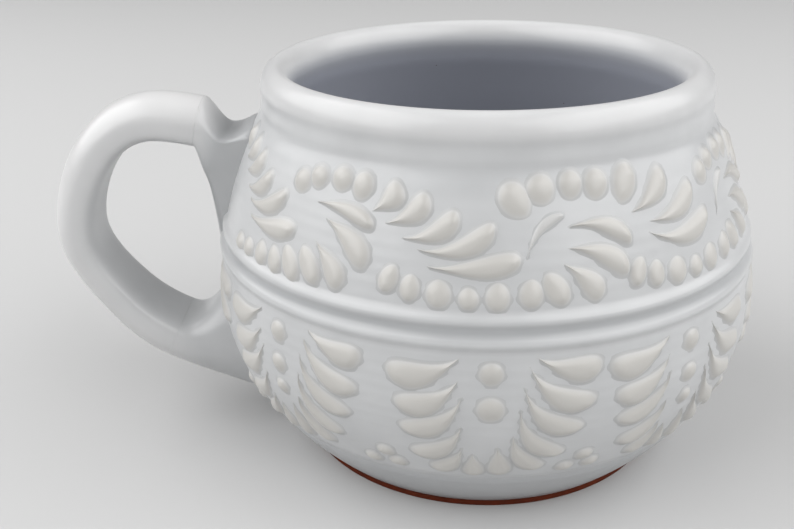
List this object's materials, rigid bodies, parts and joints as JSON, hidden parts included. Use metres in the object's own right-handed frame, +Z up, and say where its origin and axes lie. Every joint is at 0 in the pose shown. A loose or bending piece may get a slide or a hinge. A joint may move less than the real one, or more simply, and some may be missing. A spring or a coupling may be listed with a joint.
{
  "type": "mug",
  "caption": "Round-bellied earthenware mug with a thick rounded lip, a pulled side handle and raised slip-trailed scrolls and palmettes on the wall.",
  "frame": {"origin": "centre of the foot's flat underside, on the mug's axis", "axes": "+Z up along the mug's axis, -X towards the handle, -Y the front"},
  "size_m": [0.155, 0.1196, 0.085],
  "materials": {
    "glaze": "gloss",
    "slip": "gloss",
    "bare_clay": "matt"
  },
  "bodies": {
    "root": {"cup_wall": "glaze", "foot": "bare_clay", "handle": "glaze", "handle_top_joint": "glaze", "handle_bottom_joint": "glaze", "scroll_crest_1": "slip", "scroll_crest_2": "slip", "scroll_crest_3": "slip", "scroll_crest_4": "slip", "scroll_crest_5": "slip", "scroll_crest_6": "slip", "scroll_crest_7": "slip", "scroll_crest_8": "slip", "scroll_trough_1": "slip", "scroll_trough_2": "slip", "scroll_trough_3": "slip", "scroll_trough_4": "slip", "scroll_trough_5": "slip", "scroll_trough_6": "slip", "scroll_trough_7": "slip", "scroll_stem_1": "slip", "scroll_stem_2": "slip", "scroll_stem_3": "slip", "scroll_stem_4": "slip", "scroll_stem_5": "slip", "scroll_stem_6": "slip", "palmette_1": "slip", "palmette_2": "slip", "palmette_3": "slip", "palmette_4": "slip", "palmette_5": "slip", "palmette_6": "slip", "palmette_7": "slip", "palmette_8": "slip", "palmette_9": "slip", "palmette_dots_1": "slip", "palmette_dots_2": "slip", "palmette_dots_3": "slip", "palmette_dots_4": "slip", "palmette_dots_5": "slip", "palmette_dots_6": "slip", "palmette_dots_7": "slip", "palmette_dots_8": "slip", "berry_cluster_1": "slip", "berry_cluster_2": "slip", "berry_cluster_3": "slip", "berry_cluster_4": "slip", "berry_cluster_5": "slip", "berry_cluster_6": "slip", "berry_cluster_7": "slip", "berry_cluster_8": "slip"}
  },
  "joints": []
}
